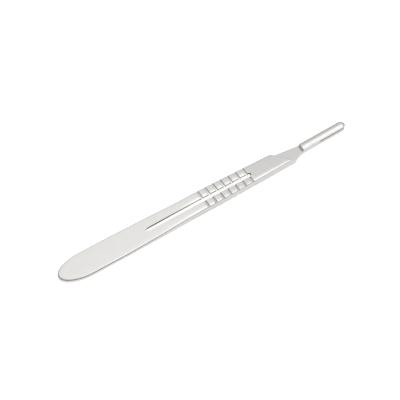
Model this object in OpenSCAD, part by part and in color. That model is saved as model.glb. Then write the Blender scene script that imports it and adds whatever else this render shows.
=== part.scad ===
// Surgical scalpel handle of the larger size, forged from one bar of stainless steel.
// X runs from the tail to the blade fitting, Z is up, and the origin lies under the middle.

/* [Body outline] */
// Length over all, from the tail to the tip of the blade fitting
total_l = 135; // [125:1:150]
// Width of the widest stretch, near the tail
tail_w = 11.5; // [10:0.1:13]
// Length of the half ellipse that rounds the tail
tail_round = 12; // [8:0.5:15]
// Distance from the tail at which the sides start to close in
taper_start = 27; // [18:1:32]
// Width at the front of the cheek
front_w = 7.7; // [7:0.1:9]
// Depth of the shallow waist behind the grip, on each side
waist_depth = 0.25; // [0:0.05:0.5]
// Length of the waist along the handle
waist_l = 34; // [20:1:40]
// Radius along the long edges
edge_r = 0.65; // [0.4:0.05:0.8]

/* [Thickness] */
// Thickness of the tail
tail_t = 2.0; // [1.6:0.1:2.6]
// Thickness from the grip to the front
grip_t = 3.4; // [2.8:0.1:4]
// Length over which the thickness grows
ramp_l = 42; // [30:1:50]

/* [Grip] */
// Number of cross channels on each side of the middle one
channels = 7; // [4:1:8]
// Spacing of the cross channels
pitch = 3.53; // [3.2:0.01:4]
// Width of a cross channel at its floor
channel_w = 0.75; // [0.5:0.05:1.1]
// Depth of the channels
channel_d = 0.65; // [0.4:0.05:0.8]
// Lean of the channels' walls away from upright, in degrees
wall_lean = 15; // [5:1:25]
// Length of the smooth cheek between the grip and the blade seat
cheek_l = 13.7; // [9:0.1:16]
// How far the crown of each row of pads falls away at the row's edges
pad_crown = 0.15; // [0.05:0.05:0.25]

/* [Middle channel] */
// Width of the middle channel at its floor
middle_w = 1; // [0.6:0.1:1.6]
// Length of the pointed stretch that runs from the grip towards the tail
point_l = 28; // [15:1:34]
// How far the middle channel runs on past the last cross channel
middle_over = 1.6; // [0.8:0.1:3]

/* [Blade seat] */
// Height of the seat above the underside
seat_z = 2; // [1.7:0.1:2.4]
// Slant of the step at the back of the seat, in degrees from square
seat_slant = 38; // [30:1:45]
// Length of the seat from its step, on the spine side, to the fitting
seat_l = 12.7; // [10:0.1:15]
// How far the seat is set in from the cheek, on the spine side
seat_inset = 0.5; // [0:0.1:0.8]
// Distance from the step's spine end to the corner of the shoulder
corner_l = 7.4; // [6.8:0.1:8.5]

/* [Blade fitting] */
// Length of the fitting in front of the seat
fitting_l = 21.9; // [18:0.1:26]
// Width of the fitting
fitting_w = 3.4; // [2.8:0.1:4]
// Height of the fitting's crown above the seat
boss_h = 1.4; // [1.1:0.1:1.6]
// Thickness of the fitting below the seat
base_h = 1.45; // [1:0.05:1.6]
// How far the crown falls away at the fitting's sides
crown_fall = 0.5; // [0.2:0.05:0.6]
// Turn of the fitting towards the spine, in degrees
fitting_turn = 1.4; // [0:0.1:2]
// Length of the grooves that hold the blade, from the tip
groove_l = 13.6; // [10:0.1:16]
// Height of the grooves, which start level with the seat
groove_h = 0.6; // [0.45:0.05:0.7]
// Depth of the grooves
groove_d = 0.6; // [0.3:0.05:0.9]

/* [Hidden] */
$fn = 64;
eps = 0.01;
mid_z = grip_t/2;
fitting_x = total_l - fitting_l;
seat_x = fitting_x - seat_l;
grip_end = seat_x - cheek_l;
grip_start = grip_end - (channels - 1)*pitch;
ramp_end = grip_start + 4;
ramp_start = ramp_end - ramp_l;
corner_x = seat_x + corner_l;
seat_edge_y = front_w/2 - seat_inset;
waist_x = grip_start - waist_l/4;
middle_end = grip_end + middle_over;

// The neck runs on inside the fitting by this length, closing in by this much on each side
neck_in = 1;
neck_inset = 0.09;
bar_end = fitting_x + neck_in;

// Half the width of the body at x, for both sides alike. The tail is most of a half ellipse:
// its very end is flat over one step, so that the loft has a face there
tail_steps = 14;
tail_step = 90/(tail_steps + 1);
function taper(x) = tail_w/2 - (tail_w - front_w)/2*max(0, x - taper_start)/(seat_x - taper_start);
function waist(x) = abs(x - waist_x) > waist_l/2 ? 0 : waist_depth*pow(cos(180*(x - waist_x)/waist_l), 2);
function tail_curve(x) = tail_w/2*sqrt(1 - pow(cos(tail_step)*(1 - x/tail_round), 2));
function half_w(x) = x < tail_round ? tail_curve(x) : taper(x) - waist(x);

// Thickness of the body at x
function smooth(u) = u <= 0 ? 0 : u >= 1 ? 1 : u*u*(3 - 2*u);
function thickness(x) = tail_t + (grip_t - tail_t)*smooth((x - ramp_start)/ramp_l);

// The long edges sharpen over this length, to this radius, at the corner of the shoulder
sharp_l = 3;
sharp_r = 0.12;

// Stations along the body, close together round the tail
body_step = 3;
stations = concat(
    [for (i = [0:tail_steps]) tail_round*(1 - cos((i + 1)*tail_step)/cos(tail_step))],
    [for (x = [tail_round + body_step : body_step : corner_x - sharp_l - body_step/2]) x],
    [for (i = [0:4]) corner_x - sharp_l*(1.1 - i/4)],
    [bar_end]);

// Unit vector out of the upper side at x, in plan
function slope(x) = (half_w(x + 0.01) - half_w(max(0.0001, x - 0.01)))/(x + 0.01 - max(0.0001, x - 0.01));
function side_normal(x) = [-slope(x), 1]/norm([-slope(x), 1]);

// Radius of the long edges at x
function edge(x) = edge_r + (sharp_r - edge_r)*smooth((x - corner_x + 1.1*sharp_l)/sharp_l);

// The points of the upper side at x, from the underside up, round both edges
round_steps = 4;
angles = concat([for (i = [0:round_steps]) -90 + i*90/round_steps], [for (i = [0:round_steps]) i*90/round_steps]);
function side_points(x) = let (n = side_normal(x), t = thickness(x), r = edge(x)) [
    for (k = [0:len(angles) - 1]) let (
        a = angles[k],
        inset = r*(1 - cos(a)),
        up = k <= round_steps ? -1 : 1)
    [x - n[0]*inset, half_w(x) - n[1]*inset, mid_z + up*(t/2 - r) + r*sin(a)]];
function ring(x) = let (p = side_points(x), m = len(p)) concat(
    p, [for (k = [0:m - 1]) let (q = p[m - 1 - k]) [q[0], -q[1], q[2]]]);

// The bar, lofted through the stations
module bar() {
    rings = [for (x = stations) ring(x)];
    m = len(rings[0]);
    last = len(rings) - 1;
    points = [for (r = rings) each r];
    sides = [for (i = [0:last - 1]) for (k = [0:m - 1])
        [i*m + k, (i + 1)*m + k, (i + 1)*m + (k + 1)%m, i*m + (k + 1)%m]];
    tail_cap = [for (k = [0:m/2 - 2]) [k, k + 1, m - 2 - k, m - 1 - k]];
    front_cap = [[for (k = [0:m - 1]) last*m + m - 1 - k]];
    polyhedron(points, concat(sides, tail_cap, front_cap), convexity = 4);
}

// A prism across the handle whose floor is w wide, cut down to depth d below z = 0
module trough(w, d, l) {
    over = 1;
    spread = (d + over)*tan(wall_lean);
    rotate([90, 0, 0]) linear_extrude(l, center = true)
        polygon([[-w/2, -d], [w/2, -d], [w/2 + spread, over], [-w/2 - spread, over]]);
}

// The row of cross channels, cut down from the top face
module cross_channels() {
    for (i = [0:channels - 1])
        translate([grip_start + i*pitch, 0, grip_t]) trough(channel_w, channel_d, 2*tail_w);
}

// The middle channel: a straight stretch with a round end, and a long point that runs out
// on the growing thickness towards the tail
module middle_channel() {
    over = 1;
    spread = (channel_d + over)*tan(wall_lean);
    floor_z = grip_t - channel_d;
    top_z = grip_t + over;
    end_x = middle_end - middle_w/2;
    point_x = grip_start - point_l;
    point_z = mid_z + thickness(point_x)/2;
    translate([(grip_start + end_x)/2, 0, grip_t]) rotate(90)
        trough(middle_w, channel_d, end_x - grip_start + eps);
    translate([end_x, 0, floor_z]) cylinder(h = channel_d + over, r1 = middle_w/2, r2 = middle_w/2 + spread);
    polyhedron([
        [point_x, 0, point_z],
        [grip_start, middle_w/2, floor_z],
        [grip_start, -middle_w/2, floor_z],
        [point_x, 0, top_z],
        [grip_start, middle_w/2 + spread, top_z],
        [grip_start, -middle_w/2 - spread, top_z]],
        [[0, 1, 2], [3, 5, 4], [1, 4, 5, 2], [0, 3, 1], [1, 3, 4], [0, 2, 3], [2, 5, 3]]);
}

// Repeats a cut on the underside
module both_faces() {
    children();
    translate([0, 0, grip_t]) mirror([0, 0, 1]) children();
}

// Everything above the seat, in front of the slanted step
module seat_cut() {
    reach = tail_w;
    y0 = half_w(seat_x);
    translate([0, 0, seat_z]) linear_extrude(grip_t) polygon([
        [seat_x - reach*tan(seat_slant), y0 + reach],
        [total_l, y0 + reach],
        [total_l, -y0 - reach],
        [seat_x + (2*y0 + reach)*tan(seat_slant), -y0 - reach]]);
}

// The spine side of the neck, which closes in straight to the fitting
module spine_cut() {
    translate([0, 0, -1]) linear_extrude(grip_t + 2) polygon([
        [seat_x, seat_edge_y], [bar_end + 1, fitting_w/2 - neck_inset],
        [bar_end + 1, tail_w], [seat_x, tail_w]]);
}

// The hollow on the edge side of the neck, from the shoulder's corner to the fitting
module hollow_cut() {
    top_x = bar_end + neck_in/2;
    top_y = neck_inset - fitting_w/2;
    rise = top_y + half_w(corner_x);
    run = top_x - corner_x;
    r = (run*run + rise*rise)/(2*rise);
    translate([top_x, top_y - r, -1]) cylinder(h = grip_t + 2, r = r, $fn = 128);
}

// The underside of the neck, which rises past the underside of the fitting
module under_cut() {
    start_x = corner_x + neck_in/2;
    slant = (seat_z - base_h)/(fitting_x + neck_in/2 - start_x);
    rotate([90, 0, 0]) linear_extrude(2*tail_w, center = true) polygon([
        [start_x, 0], [bar_end + 1, slant*(bar_end + 1 - start_x)], [bar_end + 1, -1], [start_x, -1]]);
}

module fitting_plan() {
    translate([0, -fitting_w/2]) square([fitting_l - fitting_w/2, fitting_w]);
    translate([fitting_l - fitting_w/2, 0]) circle(d = fitting_w);
}

// The stud that the blade slides on: crowned on top, grooved at both sides towards the tip
module fitting() {
    half = fitting_w/2;
    crown_r = (half*half + crown_fall*crown_fall)/(2*crown_fall);
    difference() {
        intersection() {
            translate([0, 0, seat_z - base_h]) linear_extrude(base_h + boss_h) fitting_plan();
            translate([0, 0, seat_z + boss_h - crown_r]) union() {
                translate([-1, 0, 0]) rotate([0, 90, 0]) cylinder(h = fitting_l - half + 1, r = crown_r);
                translate([fitting_l - half, 0, 0]) sphere(crown_r);
                translate([-1, -fitting_w, -2*grip_t]) cube([fitting_l + 2, 2*fitting_w, 2*grip_t]);
            }
        }
        for (side = [-1, 1])
            translate([fitting_l - groove_l, side*(half - groove_d + tail_w/2) - tail_w/2, seat_z])
                cube([groove_l + 1, tail_w, groove_h]);
    }
}

// Lowers the faces of the grip to two crowned rows, one on each side of the middle channel
module row_crowns() {
    inner = middle_w/2;
    outer = half_w(grip_start);
    row_w = outer - inner;
    row_r = (row_w*row_w/4 + pad_crown*pad_crown)/(2*pad_crown);
    l = grip_end - grip_start;
    difference() {
        translate([grip_start, -tail_w, grip_t - 2*pad_crown]) cube([l, 2*tail_w, 2]);
        for (side = [-1, 1])
            translate([grip_start - 1, side*(inner + outer)/2, grip_t - row_r])
                rotate([0, 90, 0]) cylinder(h = l + 2, r = row_r, $fn = 128);
    }
}

module handle() {
    color("lightsteelblue") translate([-total_l/2, 0, 0]) {
        difference() {
            bar();
            both_faces() {
                row_crowns();
                cross_channels();
                middle_channel();
            }
            seat_cut();
            spine_cut();
            hollow_cut();
            under_cut();
        }
        translate([fitting_x, 0, 0]) rotate(fitting_turn) fitting();
    }
}

handle();
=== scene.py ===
# %% [markdown]
# # A surgical scalpel handle in satin stainless steel
# The real thing is one flat bar of stainless steel, forged, ground and tumbled. It has no joints and
# no second part, so one piece carries the whole look. What makes it read as the real one is how soft
# its edges are, and how its flat faces, its channels and its blade fitting mirror a pale studio.

# %% The frame
import math
import bmesh
import bpy
from mathutils import Matrix, Vector


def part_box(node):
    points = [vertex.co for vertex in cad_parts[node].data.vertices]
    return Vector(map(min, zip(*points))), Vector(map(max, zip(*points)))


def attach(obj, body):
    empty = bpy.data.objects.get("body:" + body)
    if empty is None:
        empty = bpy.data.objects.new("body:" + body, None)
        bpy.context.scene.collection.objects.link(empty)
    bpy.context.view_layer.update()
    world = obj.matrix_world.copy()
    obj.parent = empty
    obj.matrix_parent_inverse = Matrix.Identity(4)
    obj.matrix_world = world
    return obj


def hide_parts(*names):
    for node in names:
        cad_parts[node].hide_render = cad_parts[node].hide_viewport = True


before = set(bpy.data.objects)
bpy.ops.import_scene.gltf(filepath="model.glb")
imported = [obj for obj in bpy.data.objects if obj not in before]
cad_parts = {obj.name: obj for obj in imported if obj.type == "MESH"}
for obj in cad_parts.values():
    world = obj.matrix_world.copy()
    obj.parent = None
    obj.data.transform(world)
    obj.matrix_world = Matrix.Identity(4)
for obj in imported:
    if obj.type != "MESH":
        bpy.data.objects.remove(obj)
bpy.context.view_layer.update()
MM = 0.001
handle_low, handle_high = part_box("handle")
print("handle from", tuple(handle_low), "to", tuple(handle_high))

# %% [markdown]
# ## The camera
# The photograph looks down at the handle from the tail end, over its cutting-edge side. A long lens
# keeps the parallel sides almost parallel, so the camera stands well back with a narrow view.

# %% Camera
VIEW_AZIMUTH, VIEW_ELEVATION = math.radians(-34), math.radians(52.3)
VIEW_DISTANCE, LENS, SENSOR = 0.6, 138.1, 36
VIEW_TARGET = Vector((-0.0025245, 0.0011808, 0.0017))
towards_camera = Vector((math.sin(VIEW_AZIMUTH)*math.cos(VIEW_ELEVATION),
                         -math.cos(VIEW_AZIMUTH)*math.cos(VIEW_ELEVATION), math.sin(VIEW_ELEVATION)))
camera = bpy.data.objects.new("camera", bpy.data.cameras.new("camera"))
camera.data.lens = LENS
camera.data.sensor_width = SENSOR
camera.location = VIEW_TARGET + VIEW_DISTANCE*towards_camera
camera.rotation_euler = (-towards_camera).to_track_quat("-Z", "Y").to_euler()
bpy.context.scene.collection.objects.link(camera)
bpy.context.scene.camera = camera
bpy.context.scene.view_settings.view_transform = "Standard"
print("camera at", tuple(round(v, 3) for v in camera.location))

# %% [markdown]
# ## The steel bar
# The frame has the bar with its outline, its seat and its fitting. The look needs the finer forms of
# the real one too: cross channels with a round floor, as the cutter leaves them, a middle channel with
# a leaning wall and a sloping floor that runs out in a long narrow point, rows of pads with a soft
# crown, and edges of the cheek and the tail that fall away a little. They touch every face of the bar,
# so the way chosen here is to build it again at the frame's own sizes and in its place: a loft through
# stations, and Boolean cuts like those of the real cutters. It is built in millimetres from the tail
# end, and brought into the frame at the end.

# %% Sizes of the real handle, in millimetres
# The bar: its tail, the taper to the front, the waist, the ramp up to the grip's thickness, and its
# edge radii, of which the sharp one is at the corner of the shoulder.
TAIL_W, TAIL_ROUND, TAPER_START, FRONT_W = 11.5, 12, 27, 7.7
WAIST_DEPTH, WAIST_L = 0.25, 34
TAIL_T, GRIP_T, RAMP_L, RAMP_INTO_GRIP = 2, 3.4, 42, 4
TAIL_EDGE_R, GRIP_EDGE_R, SHARP_R, SHARP_L = 0.6, 0.35, 0.12, 3
# How far the faces fall from their highest line: the rows of pads, whose crown fades out behind the
# grip over CROWN_RUN, the cheek and the tail.
PAD_CROWN, CROWN_RUN, ROW_INNER, CHEEK_FALL, TAIL_FALL = 0.2, 23, 0.65, 0.27, 0.18
# The cross channels, and the middle channel with its point, its nose and its round front end.
CHANNELS, PITCH, CHANNEL_W, CHANNEL_D = 7, 3.53, 1.2, 0.65
MIDDLE_W, MIDDLE_D, MIDDLE_OFF, MIDDLE_OVER = 1.9, 0.68, 0.22, 1.6
SPINE_WALL_LEAN, SPINE_WALL_SHARE, EDGE_WALL_LEAN = math.radians(36), 0.62, math.radians(15)
POINT_L, POINT_W, POINT_D, POINT_STEPS = 25, 1.6, 0.62, 12
NOSE_L, NOSE_W, NOSE_D = 1.6, 0.8, 0.2
FRONT_END = ((0, 1, 1), (0.4, 0.85, 0.95), (0.7, 0.6, 0.7), (0.9, 0.35, 0.2))
# The seat for the blade, the neck, and the stud with its grooves.
SEAT_L, SEAT_Z, SEAT_SLANT, SEAT_INSET = 12.7, 2, math.radians(38), 0.5
SHOULDER_L, NECK_IN, NECK_INSET = 7.4, 1, 0.09
FITTING_L, FITTING_W, FITTING_TURN = 21.9, 3.4, math.radians(1.4)
BOSS_H, BASE_H, CROWN_FALL = 1.4, 1.45, 0.5
GROOVE_L, GROOVE_H, GROOVE_D = 13.6, 0.6, 0.6
# From the last cross channel to the fitting, and how far a cutter reaches past the steel.
GRIP_TO_FITTING, OVER = 26.4, 1.0

TOTAL_L = round((handle_high.x - handle_low.x)/MM, 1)
FITTING_X = TOTAL_L - FITTING_L
SEAT_X, GRIP_END = FITTING_X - SEAT_L, FITTING_X - GRIP_TO_FITTING
GRIP_START = GRIP_END - (CHANNELS - 1)*PITCH
RAMP_START = GRIP_START + RAMP_INTO_GRIP - RAMP_L
CORNER_X, BAR_END = SEAT_X + SHOULDER_L, FITTING_X + NECK_IN
WAIST_X, SHARP_X = GRIP_START - WAIST_L/4, CORNER_X - 1.1*SHARP_L
print("length", TOTAL_L, "grip", GRIP_START, GRIP_END, "seat", SEAT_X, "fitting", FITTING_X)


# %% Helpers for solids
def solid(name, points, faces):
    """A closed mesh as an object, its doubled points joined and its faces turned outwards."""
    mesh = bpy.data.meshes.new(name)
    form = bmesh.new()
    corners = [form.verts.new(p) for p in points]
    for face in faces:
        form.faces.new([corners[i] for i in face])
    bmesh.ops.remove_doubles(form, verts=form.verts, dist=1e-4)
    bmesh.ops.recalc_face_normals(form, faces=form.faces)
    form.to_mesh(mesh)
    form.free()
    piece = bpy.data.objects.new(name, mesh)
    bpy.context.scene.collection.objects.link(piece)
    return piece


def loft(name, rings):
    """A solid through rings that have equally many points, with a cap on the first and the last."""
    m = len(rings[0])
    sides = [[i*m + k, (i + 1)*m + k, (i + 1)*m + (k + 1) % m, i*m + (k + 1) % m]
             for i in range(len(rings) - 1) for k in range(m)]
    caps = [list(range(m)), [len(rings)*m - 1 - k for k in range(m)]]
    return solid(name, [p for ring in rings for p in ring], sides + caps)


def prism(name, outline, low, high):
    return loft(name, [[(x, y, z) for x, y in outline] for z in (low, high)])


def round_bar(name, start, end, radius, sides=96):
    """A cylinder between two points."""
    start, end = Vector(start), Vector(end)
    axis = (end - start).normalized()
    out = axis.orthogonal().normalized()
    up = axis.cross(out)
    turns = [2*math.pi*(k + 0.5)/sides for k in range(sides)]
    return loft(name, [[c + radius*(math.cos(t)*out + math.sin(t)*up) for t in turns] for c in (start, end)])


def combine(target, tool, operation="DIFFERENCE"):
    step = target.modifiers.new("step", "BOOLEAN")
    step.operation = operation
    step.solver = "EXACT"
    step.object = tool
    bpy.context.view_layer.objects.active = target
    bpy.ops.object.modifier_apply(modifier="step")
    bpy.data.objects.remove(tool)


def cut_both_faces(target, tool):
    """Cuts the tool out of the top, and mirrored out of the underside, which has the same pattern."""
    mirrored = tool.copy()
    mirrored.data = tool.data.copy()
    mirrored.data.transform(Matrix.Translation((0, 0, GRIP_T)) @ Matrix.Scale(-1, 4, (0, 0, 1)))
    mirrored.data.flip_normals()
    bpy.context.scene.collection.objects.link(mirrored)
    combine(target, tool)
    combine(target, mirrored)


def crown_radius(width, fall):
    return (width*width/4 + fall*fall)/(2*fall)


# %% The bare bar
TAIL_STEPS, STRAIGHT_STEPS, SHARP_STEPS, ROUND_STEPS, FACE_STEPS = 28, 62, 4, 6, 24
SLOPE_STEP = 0.01
TAIL_FLAT = math.radians(90/(TAIL_STEPS + 1))


def smooth(u):
    u = min(max(u, 0), 1)
    return u*u*(3 - 2*u)


def thickness(x):
    return TAIL_T + (GRIP_T - TAIL_T)*smooth((x - RAMP_START)/RAMP_L)


def half_width(x):
    """Half the bar's width: a round tail that ends in a short flat, then the taper and the waist."""
    if x < TAIL_ROUND:
        return TAIL_W/2*math.sqrt(1 - ((1 - x/TAIL_ROUND)*math.cos(TAIL_FLAT))**2)
    narrowing = (TAIL_W - FRONT_W)/2*max(0, x - TAPER_START)/(SEAT_X - TAPER_START)
    near_waist = abs(x - WAIST_X) < WAIST_L/2
    return TAIL_W/2 - narrowing - near_waist*WAIST_DEPTH*math.cos(math.pi*(x - WAIST_X)/WAIST_L)**2


def crown(x, y, up):
    """How far the face lies below its highest line: it falls at its edges, in two rows over the grip."""
    if x > GRIP_END:
        return CHEEK_FALL*(y/half_width(GRIP_END))**4*(up > 0)
    outer = half_width(GRIP_START)
    across = (max(abs(y), ROW_INNER) - (ROW_INNER + outer)/2)/((outer - ROW_INNER)/2)
    rows = smooth((x - GRIP_START + CROWN_RUN)/CROWN_RUN)
    return rows*PAD_CROWN*across**2 + (1 - rows)*TAIL_FALL*(y/half_width(x))**4


def ring(x):
    """The bar's outline in section at x, with both long edges rounded along the outline's own normal."""
    back = max(0.0001, x - SLOPE_STEP)
    slope = (half_width(x + SLOPE_STEP) - half_width(back))/(x + SLOPE_STEP - back)
    out = Vector((-slope, 1)).normalized()
    r = TAIL_EDGE_R + (GRIP_EDGE_R - TAIL_EDGE_R)*smooth((x - RAMP_START)/RAMP_L)
    r += (SHARP_R - r)*smooth((x - SHARP_X)/SHARP_L)
    flat = half_width(x) - out.y*r
    across = [flat*(1 - 2*k/FACE_STEPS) for k in range(1, FACE_STEPS)]
    faces = {up: [(x - out.x*r, y, GRIP_T/2 + up*(thickness(x)/2 - crown(x, y, up))) for y in across]
             for up in (-1, 1)}
    side = []
    for up in (-1, 1):
        middle_z = GRIP_T/2 + up*(thickness(x)/2 - r - crown(x, flat, up))
        for k in range(ROUND_STEPS + 1):
            a = math.radians(90*k/ROUND_STEPS - 90*(up < 0))
            inset = r*(1 - math.cos(a))
            side.append((x - out.x*inset, half_width(x) - out.y*inset, middle_z + r*math.sin(a)))
    return side + faces[1] + [(px, -py, pz) for px, py, pz in reversed(side)] + faces[-1][::-1]


straight_l = SHARP_X - TAIL_ROUND
stations = [TAIL_ROUND*(1 - math.cos((i + 1)*TAIL_FLAT)/math.cos(TAIL_FLAT)) for i in range(TAIL_STEPS + 1)]
stations += [TAIL_ROUND + straight_l*(i + 1)/STRAIGHT_STEPS for i in range(STRAIGHT_STEPS)]
stations += [SHARP_X + SHARP_L*(i + 1)/SHARP_STEPS for i in range(SHARP_STEPS)] + [BAR_END]
bar = loft("steel_bar", [ring(x) for x in stations])
print("bare bar:", len(bar.data.polygons), "faces")

# %% The channels
for i in range(CHANNELS):
    x, z = GRIP_START + i*PITCH, GRIP_T - CHANNEL_D + CHANNEL_W/2
    cut_both_faces(bar, round_bar("cross", (x, -TAIL_W, z), (x, TAIL_W, z), CHANNEL_W/2))


def top_z(x):
    return GRIP_T/2 + thickness(x)/2


def middle_ring(x, width, depth):
    """The middle channel in section: its floor slopes down from the spine side to a steep wall."""
    foot = depth*SPINE_WALL_SHARE
    section = [(width/2 + OVER*math.tan(SPINE_WALL_LEAN), OVER),
               (width/2 - foot*math.tan(SPINE_WALL_LEAN), -foot),
               (depth*math.tan(EDGE_WALL_LEAN) - width/2, -depth),
               (-width/2 - OVER*math.tan(EDGE_WALL_LEAN), OVER)]
    return [(x, y - MIDDLE_OFF, top_z(x) + z) for y, z in section]


point_x, front_x = GRIP_START - POINT_L, GRIP_END + MIDDLE_OVER - MIDDLE_W/2
middle_rings = [middle_ring(point_x - NOSE_L, NOSE_W, NOSE_D)]
for i in range(POINT_STEPS + 1):
    u = i/POINT_STEPS
    middle_rings.append(middle_ring(point_x + POINT_L*u, POINT_W + (MIDDLE_W - POINT_W)*u,
                                    POINT_D + (MIDDLE_D - POINT_D)*u))
for ahead, width_share, depth_share in FRONT_END:
    middle_rings.append(middle_ring(front_x + ahead, MIDDLE_W*width_share, MIDDLE_D*depth_share))
cut_both_faces(bar, loft("middle", middle_rings))
print("channelled:", len(bar.data.polygons), "faces")

# %% The seat, the neck and its hollow
HOLLOW_SIDES = 256
seat_y, reach = half_width(SEAT_X), TAIL_W
combine(bar, prism("seat", [(SEAT_X - reach*math.tan(SEAT_SLANT), seat_y + reach),
                            (TOTAL_L, seat_y + reach), (TOTAL_L, -seat_y - reach),
                            (SEAT_X + (2*seat_y + reach)*math.tan(SEAT_SLANT), -seat_y - reach)],
                   SEAT_Z, 2*GRIP_T))
combine(bar, prism("spine", [(SEAT_X, FRONT_W/2 - SEAT_INSET), (BAR_END + OVER, FITTING_W/2 - NECK_INSET),
                             (BAR_END + OVER, TAIL_W), (SEAT_X, TAIL_W)], -OVER, GRIP_T + OVER))
hollow_x, hollow_y = BAR_END + NECK_IN/2, NECK_INSET - FITTING_W/2
hollow_rise, hollow_run = hollow_y + half_width(CORNER_X), hollow_x - CORNER_X
hollow_r = (hollow_run**2 + hollow_rise**2)/(2*hollow_rise)
combine(bar, round_bar("hollow", (hollow_x, hollow_y - hollow_r, -OVER),
                       (hollow_x, hollow_y - hollow_r, GRIP_T + OVER), hollow_r, HOLLOW_SIDES))
under_x = CORNER_X + NECK_IN/2
under_rise = (SEAT_Z - BASE_H)/(FITTING_X + NECK_IN/2 - under_x)*(BAR_END + OVER - under_x)
under = [(under_x, 0), (BAR_END + OVER, under_rise), (BAR_END + OVER, -OVER), (under_x, -OVER)]
combine(bar, loft("under", [[(x, y, z) for x, z in under] for y in (-TAIL_W, TAIL_W)]))
print("seat and neck cut:", len(bar.data.polygons), "faces")

# %% The fitting
WELD, SLIVER, ALMOST_FLAT = 0.002, 0.003, math.radians(0.1)
half = FITTING_W/2
stud_r = crown_radius(FITTING_W, CROWN_FALL)


def plan(inset_r, z):
    """The stud's outline, square behind and round at the tip, that lies this far from its middle line."""
    tip = [(FITTING_L - half + inset_r*math.sin(math.radians(a)), -inset_r*math.cos(math.radians(a)), z)
           for a in range(0, 181, 6)]
    return [(0, -inset_r, z)] + tip + [(0, inset_r, z)]


across = [half*math.sin(math.radians(a)) for a in (0.5, 10, 20, 30, 40, 50, 60, 70, 80, 90)]
tops = [plan(d, SEAT_Z + BOSS_H - stud_r + math.sqrt(stud_r**2 - d**2)) for d in across]
fitting = loft("fitting", tops + [plan(half, SEAT_Z - BASE_H)])
groove_x = FITTING_L - GROOVE_L
for side in (-1, 1):
    near, far = side*(half - GROOVE_D), side*TAIL_W
    combine(fitting, prism("groove", [(groove_x, near), (FITTING_L + OVER, near), (FITTING_L + OVER, far),
                                      (groove_x, far)], SEAT_Z, SEAT_Z + GROOVE_H))
fitting.data.transform(Matrix.Translation((FITTING_X, 0, 0)) @ Matrix.Rotation(FITTING_TURN, 4, "Z"))
combine(bar, fitting, "UNION")
bpy.ops.object.select_all(action="DESELECT")
bar.select_set(True)
bpy.context.view_layer.objects.active = bar
bpy.ops.object.mode_set(mode="EDIT")
bpy.ops.mesh.select_all(action="SELECT")
bpy.ops.mesh.remove_doubles(threshold=WELD)
bpy.ops.mesh.dissolve_degenerate(threshold=SLIVER)
bpy.ops.mesh.dissolve_limited(angle_limit=ALMOST_FLAT)
bpy.ops.object.mode_set(mode="OBJECT")
print("bar with its fitting:", len(bar.data.vertices), "points,", len(bar.data.polygons), "faces")

# %% [markdown]
# ## Rounded edges
# Tumbling with fine stones rounds every edge by a tenth of a millimetre or two. Two corners are
# rounder than that: the top edge of the slanted step, which is ground over, and the foot of the
# stud's rear wall, where the cutter left a hollow. Their edges are found by where they lie, given a
# bevel weight, and rounded first with a wider bevel. A narrow bevel then takes all the rest.

# %% Rounder corners at the step and at the foot of the stud
CORNER_ROUND, STUD_FOOT_SHARE, NEAR = 0.45, 0.3, 0.03


def on_step_edge(point):
    off = point.x - SEAT_X - (seat_y - point.y)*math.tan(SEAT_SLANT)
    return abs(off) < NEAR and point.z > SEAT_Z + 0.5


def at_stud_foot(point):
    off = point.x - FITTING_X + point.y*math.tan(FITTING_TURN)
    return abs(off) < NEAR and abs(point.z - SEAT_Z) < NEAR and abs(point.y) < half + 0.05


weights = bar.data.attributes.new("bevel_weight_edge", "FLOAT", "EDGE")
worked = 0
for edge in bar.data.edges:
    ends = [bar.data.vertices[v].co for v in edge.vertices]
    weight = 1.0*all(map(on_step_edge, ends)) + STUD_FOOT_SHARE*all(map(at_stud_foot, ends))
    weights.data[edge.index].value = weight
    worked += weight > 0
corners = bar.modifiers.new("worked_corners", "BEVEL")
corners.limit_method = "WEIGHT"
corners.width = CORNER_ROUND
corners.segments = 3
corners.use_clamp_overlap = False
bpy.ops.object.modifier_apply(modifier="worked_corners")
print("worked corner edges:", worked)

# %% Rounded edges
TUMBLED_R, TUMBLED_ANGLE, SMOOTH_ANGLE = 0.14, math.radians(32), math.radians(40)
bevel = bar.modifiers.new("tumbled_edges", "BEVEL")
bevel.limit_method = "ANGLE"
bevel.angle_limit = TUMBLED_ANGLE
bevel.width = TUMBLED_R
bevel.segments = 2
bevel.use_clamp_overlap = True
bevel.miter_outer = "MITER_ARC"
bpy.ops.object.modifier_apply(modifier="tumbled_edges")
bpy.ops.object.shade_smooth_by_angle(angle=SMOOTH_ANGLE)
bar.modifiers.new("flat_faces_stay_flat", "WEIGHTED_NORMAL").keep_sharp = True
bpy.ops.object.modifier_apply(modifier="flat_faces_stay_flat")
bar.data.transform(Matrix.Scale(MM, 4) @ Matrix.Translation((-TOTAL_L/2, 0, 0)))
print("bar rounded:", len(bar.data.polygons), "faces")
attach(bar, "root")
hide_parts("handle")

# %% [markdown]
# ## Satin stainless steel
# Martensitic stainless steel, ground and then tumbled: a grey metal with a soft, slightly uneven
# shine. It shows broad blurred reflections, faint lines along the bar from the grinding, and small
# patches where the tumbling left it a little duller.

# %% Helpers for materials
def linear(hex_colour):
    """An sRGB hex colour as the linear colour that a shader takes."""
    parts = [int(hex_colour[i:i + 2], 16)/255 for i in (1, 3, 5)]
    return tuple(p/12.92 if p <= 0.04045 else ((p + 0.055)/1.055)**2.4 for p in parts) + (1.0,)


def add_node(tree, kind, settings=None, **links):
    """Adds a node. A setting is an attribute or an input's value, and a link is an input's name."""
    node = tree.nodes.new(kind)
    for name, value in (settings or {}).items():
        if hasattr(node, name):
            setattr(node, name, value)
        else:
            node.inputs[name].default_value = value
    for name, source in links.items():
        tree.links.new(source, node.inputs[name.replace("_", " ")])
    return node


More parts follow.
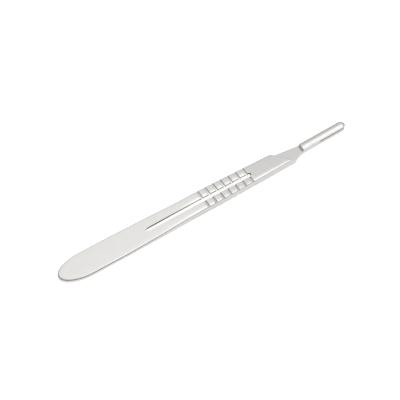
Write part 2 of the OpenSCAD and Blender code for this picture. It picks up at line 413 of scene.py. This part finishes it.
# %% The steel
steel = bpy.data.materials.new("satin_stainless_steel")
steel.use_nodes = True
tree = steel.node_tree
shader = tree.nodes["Principled BSDF"]
shader.inputs["Metallic"].default_value = 1.0
shader.inputs["Base Color"].default_value = linear("#DBDAD8")
place = add_node(tree, "ShaderNodeTexCoord")
along = add_node(tree, "ShaderNodeMapping", {"Scale": (0.12, 1, 1)}, Vector=place.outputs["Object"])
GRIND_LINE = 0.5*MM
grind = add_node(tree, "ShaderNodeTexNoise", {"Scale": 1/GRIND_LINE, "Detail": 3.0, "Roughness": 0.6},
                 Vector=along.outputs["Vector"])
DULL_PATCH = 6*MM
patches = add_node(tree, "ShaderNodeTexNoise", {"Scale": 1/DULL_PATCH, "Detail": 3.0, "Roughness": 0.55},
                   Vector=place.outputs["Object"])
rough = add_node(tree, "ShaderNodeMapRange",
                 {"From Min": 0.3, "From Max": 0.7, "To Min": 0.17, "To Max": 0.27},
                 Value=patches.outputs["Fac"])
tree.links.new(rough.outputs["Result"], shader.inputs["Roughness"])
bump = add_node(tree, "ShaderNodeBump", {"Strength": 0.12, "Distance": 0.02*MM},
                Height=grind.outputs["Fac"])
tree.links.new(bump.outputs["Normal"], shader.inputs["Normal"])
bar.data.materials.clear()
bar.data.materials.append(steel)
print("material", steel.name)

# %% [markdown]
# ## The studio
# The photograph has a pure white ground, bright light from above and behind, and darkness low in
# front, which is what the black walls of the channels mirror. The floor is white. It adds a little of
# its own light for the camera, so that it reads as white and still keeps the handle's shadow, and
# rather less for what the steel mirrors of it. The sky is white to the camera. In the steel it is
# brightest above and a little behind, and dark near the horizon. Three soft lamps give the highlights:
# one above, one in front, and a small panel behind.

# %% Floor
FLOOR_SEEN, FLOOR_MIRRORED, FLOOR_GAP = 0.8, 0.47, 0.02*MM
bpy.ops.object.select_all(action="DESELECT")
bpy.ops.mesh.primitive_plane_add(size=3)
floor = bpy.context.active_object
floor.name = "floor"
floor.location.z = -FLOOR_GAP
white = bpy.data.materials.new("white_table")
white.use_nodes = True
tree = white.node_tree
tree.nodes.remove(tree.nodes["Principled BSDF"])
diffuse = add_node(tree, "ShaderNodeBsdfDiffuse", {"Color": linear("#F4F4F4")})
light_path = add_node(tree, "ShaderNodeLightPath")
seen = add_node(tree, "ShaderNodeMath", {"operation": "MULTIPLY"})
tree.links.new(light_path.outputs["Is Camera Ray"], seen.inputs[0])
seen.inputs[1].default_value = FLOOR_SEEN
lift = add_node(tree, "ShaderNodeMath", {"operation": "MULTIPLY_ADD"})
tree.links.new(light_path.outputs["Is Glossy Ray"], lift.inputs[0])
lift.inputs[1].default_value = FLOOR_MIRRORED
tree.links.new(seen.outputs["Value"], lift.inputs[2])
glow = add_node(tree, "ShaderNodeEmission", Strength=lift.outputs["Value"])
both = add_node(tree, "ShaderNodeAddShader")
tree.links.new(diffuse.outputs["BSDF"], both.inputs[0])
tree.links.new(glow.outputs["Emission"], both.inputs[1])
tree.links.new(both.outputs["Shader"], tree.nodes["Material Output"].inputs["Surface"])
floor.data.materials.append(white)

# %% World
world = bpy.data.worlds.new("studio")
bpy.context.scene.world = world
world.use_nodes = True
tree = world.node_tree
back = tree.nodes["Background"]
back.inputs["Color"].default_value = (1, 1, 1, 1)
direction = add_node(tree, "ShaderNodeTexCoord")
bright_side = Vector((0.3, 0.35, 0.89)).normalized()
facing = add_node(tree, "ShaderNodeVectorMath", {"operation": "DOT_PRODUCT"})
tree.links.new(direction.outputs["Generated"], facing.inputs[0])
facing.inputs[1].default_value = bright_side
ramp = add_node(tree, "ShaderNodeMapRange",
                {"interpolation_type": "SMOOTHSTEP", "From Min": 0.2, "From Max": 1.0,
                 "To Min": 0.04, "To Max": 0.87}, Value=facing.outputs["Value"])
height = add_node(tree, "ShaderNodeSeparateXYZ", Vector=direction.outputs["Generated"])
overhead = add_node(tree, "ShaderNodeMapRange",
                    {"interpolation_type": "SMOOTHSTEP", "From Min": 0.42, "From Max": 0.72,
                     "To Min": 0.0, "To Max": 0.55}, Value=height.outputs["Z"])
sky = add_node(tree, "ShaderNodeMath", {"operation": "MAXIMUM"})
tree.links.new(ramp.outputs["Result"], sky.inputs[0])
tree.links.new(overhead.outputs["Result"], sky.inputs[1])
light_path = add_node(tree, "ShaderNodeLightPath")
seen = add_node(tree, "ShaderNodeMath", {"operation": "MAXIMUM"})
tree.links.new(sky.outputs["Value"], seen.inputs[0])
tree.links.new(light_path.outputs["Is Camera Ray"], seen.inputs[1])
tree.links.new(seen.outputs["Value"], back.inputs["Strength"])
print("world set")

# %% Lamps
def soft_lamp(name, azimuth, elevation, distance, size, watts):
    """A square softbox that faces the middle of the handle, from this azimuth and elevation."""
    lamp = bpy.data.objects.new(name, bpy.data.lights.new(name, "AREA"))
    lamp.data.size = size
    lamp.data.energy = watts
    a, e = math.radians(azimuth), math.radians(elevation)
    out = Vector((math.cos(a)*math.cos(e), math.sin(a)*math.cos(e), math.sin(e)))
    lamp.location = out*distance
    lamp.rotation_euler = (-out).to_track_quat("-Z", "Y").to_euler()
    bpy.context.scene.collection.objects.link(lamp)


soft_lamp("top_softbox", azimuth=0, elevation=68, distance=0.6, size=0.4, watts=0.31)
soft_lamp("front_softbox", azimuth=-50, elevation=52, distance=0.6, size=0.26, watts=0.12)
soft_lamp("back_panel", azimuth=84, elevation=58, distance=0.355, size=0.22, watts=0.038)
print("lamps set")
